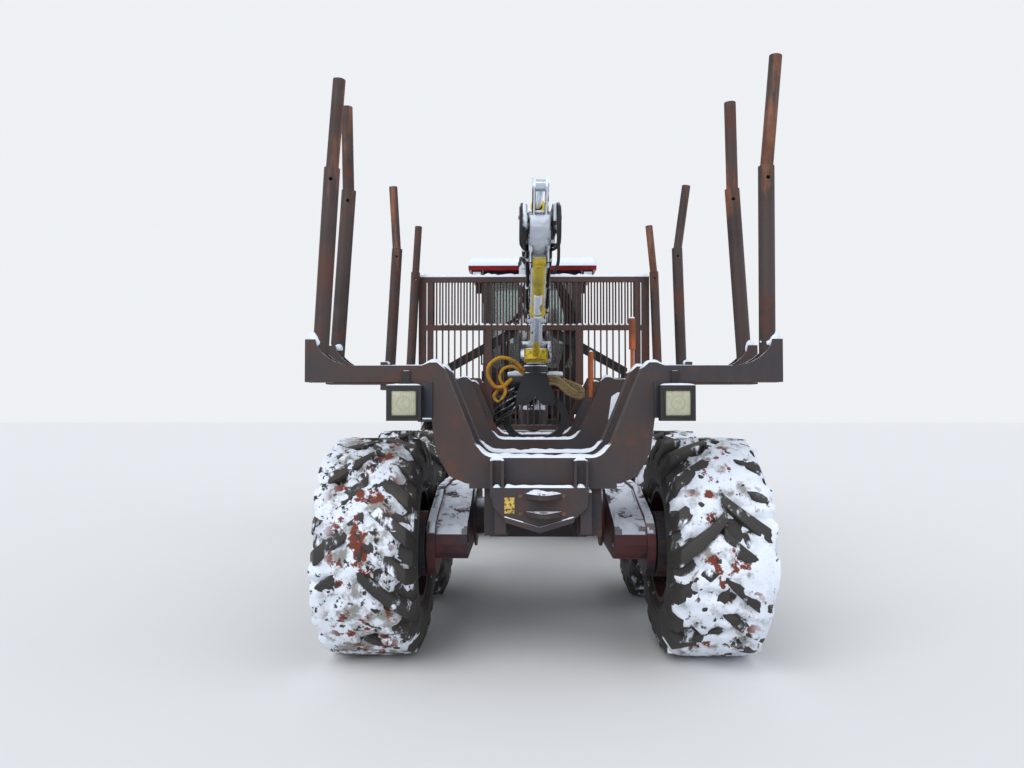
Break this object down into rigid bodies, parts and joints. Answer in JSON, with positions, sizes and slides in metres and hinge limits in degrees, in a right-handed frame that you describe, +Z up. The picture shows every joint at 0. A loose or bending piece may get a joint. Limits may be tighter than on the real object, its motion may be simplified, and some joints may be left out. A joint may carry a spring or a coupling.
{
  "type": "forestry forwarder",
  "caption": "Articulated forestry forwarder with bogied rear wheels, open stake bunks, a gate, an enclosed cab and a knuckle boom loader parked over the load space.",
  "frame": {"origin": "on the ground at the middle of the machine's box", "axes": "+Y the way it drives, +X its right side, +Z up"},
  "size_m": [2.6321, 7.48, 3.4731],
  "materials": {
    "frame_paint": "worn matt black-brown paint over steel",
    "bunk_paint": "worn dark brown paint with rust",
    "gate_paint": "worn reddish brown paint",
    "bogie_paint": "dark red paint worn to navy primer",
    "tyre": "ribbed rubber, dirty",
    "rim": "red paint, scratched",
    "loader_paint": "black-navy paint, greasy",
    "cylinder_yellow": "yellow paint, chipped",
    "rod_chrome": "polished",
    "cab_paint": "red paint, weathered",
    "glass": "tinted window glass",
    "lamp": "lamp with cream lens",
    "post_orange": "faded orange paint",
    "seat": "dark seat cloth",
    "engine": "plain cast block",
    "exhaust": "heat-stained steel"
  },
  "bodies": {
    "rear": {"rear_frame": "frame_paint", "rear_bumper": "bogie_paint", "rear_axle": "frame_paint", "bunks": "bunk_paint", "stakes": "bunk_paint", "gate": "gate_paint", "gate_stays": "frame_paint", "work_lamps": "lamp", "marker_posts": "post_orange", "loader_base": "loader_paint"},
    "bogie_left": {"bogie_left": "bogie_paint"},
    "bogie_right": {"bogie_right": "bogie_paint"},
    "centre_joint": {"centre_joint": "frame_paint"},
    "front": {"front_frame": "frame_paint", "front_axle": "frame_paint", "engine": "engine", "cab": "cab_paint", "cab_roof": "cab_paint", "cab_glass": "glass", "cab_seat": "seat", "fenders": "frame_paint", "cab_lamps": "lamp"},
    "hood": {"hood": "cab_paint", "front_guard": "frame_paint", "exhaust": "exhaust"},
    "door": {"cab_door": "cab_paint", "door_glass": "glass"},
    "pillar": {"pillar": "loader_paint"},
    "lift_barrel": {"lift_barrel": "loader_paint"},
    "lift_rod": {"lift_rod": "rod_chrome"},
    "main_boom": {"main_boom": "loader_paint"},
    "jib_barrel": {"jib_barrel": "loader_paint"},
    "jib_rod": {"jib_rod": "rod_chrome"},
    "jib": {"jib": "loader_paint", "extension_barrel": "cylinder_yellow"},
    "jib_extension": {"jib_extension": "loader_paint", "extension_rod": "rod_chrome"},
    "grapple_link": {"grapple_link": "loader_paint"},
    "grapple_head": {"grapple_head": "loader_paint"},
    "jaw_left": {"jaw_left": "loader_paint"},
    "jaw_right": {"jaw_right": "loader_paint"},
    "wheel_back_left": {"tyre_back_left": "tyre", "rim_back_left": "rim"},
    "wheel_back_right": {"tyre_back_right": "tyre", "rim_back_right": "rim"},
    "wheel_mid_left": {"tyre_mid_left": "tyre", "rim_mid_left": "rim"},
    "wheel_mid_right": {"tyre_mid_right": "tyre", "rim_mid_right": "rim"},
    "wheel_front_left": {"tyre_front_left": "tyre", "rim_front_left": "rim"},
    "wheel_front_right": {"tyre_front_right": "tyre", "rim_front_right": "rim"}
  },
  "joints": [
    {"name": "bogie_left_swing", "type": "hinge", "parent": "rear", "child": "bogie_left", "pos_m": [-0.57, -2.2, 0.74], "axis": [1, 0, 0], "range_deg": [-15, 15]},
    {"name": "bogie_right_swing", "type": "hinge", "parent": "rear", "child": "bogie_right", "pos_m": [0.57, -2.2, 0.74], "axis": [1, 0, 0], "range_deg": [-15, 15]},
    {"name": "wheel_back_left_spin", "type": "hinge", "parent": "bogie_left", "child": "wheel_back_left", "pos_m": [-1, -2.91, 0.665], "axis": [-1, 0, 0], "continuous": true},
    {"name": "wheel_back_right_spin", "type": "hinge", "parent": "bogie_right", "child": "wheel_back_right", "pos_m": [1, -2.91, 0.665], "axis": [-1, 0, 0], "continuous": true},
    {"name": "wheel_mid_left_spin", "type": "hinge", "parent": "bogie_left", "child": "wheel_mid_left", "pos_m": [-1, -1.49, 0.665], "axis": [-1, 0, 0], "continuous": true},
    {"name": "wheel_mid_right_spin", "type": "hinge", "parent": "bogie_right", "child": "wheel_mid_right", "pos_m": [1, -1.49, 0.665], "axis": [-1, 0, 0], "continuous": true},
    {"name": "centre_roll", "type": "hinge", "parent": "rear", "child": "centre_joint", "pos_m": [0, 0.69, 0.9], "axis": [0, -1, 0], "range_deg": [-15, 15]},
    {"name": "centre_steer", "type": "hinge", "parent": "centre_joint", "child": "front", "pos_m": [0, 0.69, 0.9], "axis": [0, 0, 1], "range_deg": [-40, 40]},
    {"name": "wheel_front_left_spin", "type": "hinge", "parent": "front", "child": "wheel_front_left", "pos_m": [-0.955, 1.54, 0.79], "axis": [-1, 0, 0], "continuous": true},
    {"name": "wheel_front_right_spin", "type": "hinge", "parent": "front", "child": "wheel_front_right", "pos_m": [0.955, 1.54, 0.79], "axis": [-1, 0, 0], "continuous": true},
    {"name": "hood_tip", "type": "hinge", "parent": "front", "child": "hood", "pos_m": [0, 3.705, 1.1], "axis": [-1, 0, 0], "range_deg": [0, 50]},
    {"name": "door_swing", "type": "hinge", "parent": "front", "child": "door", "pos_m": [-0.584, 1.31, 2.2], "axis": [0, 0, 1], "range_deg": [0, 80]},
    {"name": "loader_slew", "type": "hinge", "parent": "rear", "child": "pillar", "pos_m": [0, 0.39, 1.48], "axis": [0, 0, 1], "range_deg": [-10, 10]},
    {"name": "loader_lift", "type": "hinge", "parent": "pillar", "child": "main_boom", "pos_m": [0, 0.39, 3.02], "axis": [-1, 0, 0], "range_deg": [0, 70]},
    {"name": "lift_barrel_swing", "type": "hinge", "parent": "pillar", "child": "lift_barrel", "pos_m": [0, 0.19, 1.64], "axis": [1, 0, 0], "range_deg": [-8, 4]},
    {"name": "lift_rod_slide", "type": "slide", "parent": "lift_barrel", "child": "lift_rod", "axis": [0, -0.062, 0.9981], "range_m": [0, 0.4]},
    {"name": "jib_swing", "type": "hinge", "parent": "main_boom", "child": "jib", "pos_m": [0, -2.89642, 2.72091], "axis": [-1, 0, 0], "range_deg": [0, 140]},
    {"name": "jib_barrel_swing", "type": "hinge", "parent": "main_boom", "child": "jib_barrel", "pos_m": [0, -1.07261, 3.09274], "axis": [1, 0, 0], "range_deg": [-8, 8]},
    {"name": "jib_rod_slide", "type": "slide", "parent": "jib_barrel", "child": "jib_rod", "axis": [0, -0.9939, -0.1101], "range_m": [-0.45, 0]},
    {"name": "jib_extend", "type": "slide", "parent": "jib", "child": "jib_extension", "axis": [0, 0.9336, -0.3584], "range_m": [0, 0.42]},
    {"name": "grapple_hang", "type": "hinge", "parent": "jib_extension", "child": "grapple_link", "pos_m": [0, -0.89856, 1.95401], "axis": [1, 0, 0], "range_deg": [-10, 110]},
    {"name": "grapple_turn", "type": "hinge", "parent": "grapple_link", "child": "grapple_head", "pos_m": [0, -0.89856, 1.87201], "axis": [0, 0, 1], "continuous": true},
    {"name": "jaw_left_swing", "type": "hinge", "parent": "grapple_head", "child": "jaw_left", "pos_m": [-0.118, -0.89856, 1.57401], "axis": [0, 1, 0], "range_deg": [0, 50]},
    {"name": "jaw_right_swing", "type": "hinge", "parent": "grapple_head", "child": "jaw_right", "pos_m": [0.118, -0.89856, 1.57401], "axis": [0, 1, 0], "range_deg": [-50, 0]}
  ],
  "couplings": [
    {"joint": "lift_barrel_swing", "follows": "loader_lift", "ratio": -0.0129},
    {"joint": "lift_rod_slide", "follows": "loader_lift", "m_per_rad": 0.3128},
    {"joint": "jib_swing", "follows": "loader_lift", "ratio": 0.5},
    {"joint": "jib_barrel_swing", "follows": "loader_lift", "ratio": -0.0328},
    {"joint": "jib_rod_slide", "follows": "loader_lift", "m_per_rad": -0.1056},
    {"joint": "jib_extend", "follows": "loader_lift", "m_per_rad": 0.33},
    {"joint": "grapple_hang", "follows": "loader_lift", "ratio": 1.5},
    {"joint": "jaw_right_swing", "follows": "jaw_left_swing", "ratio": -1}
  ]
}
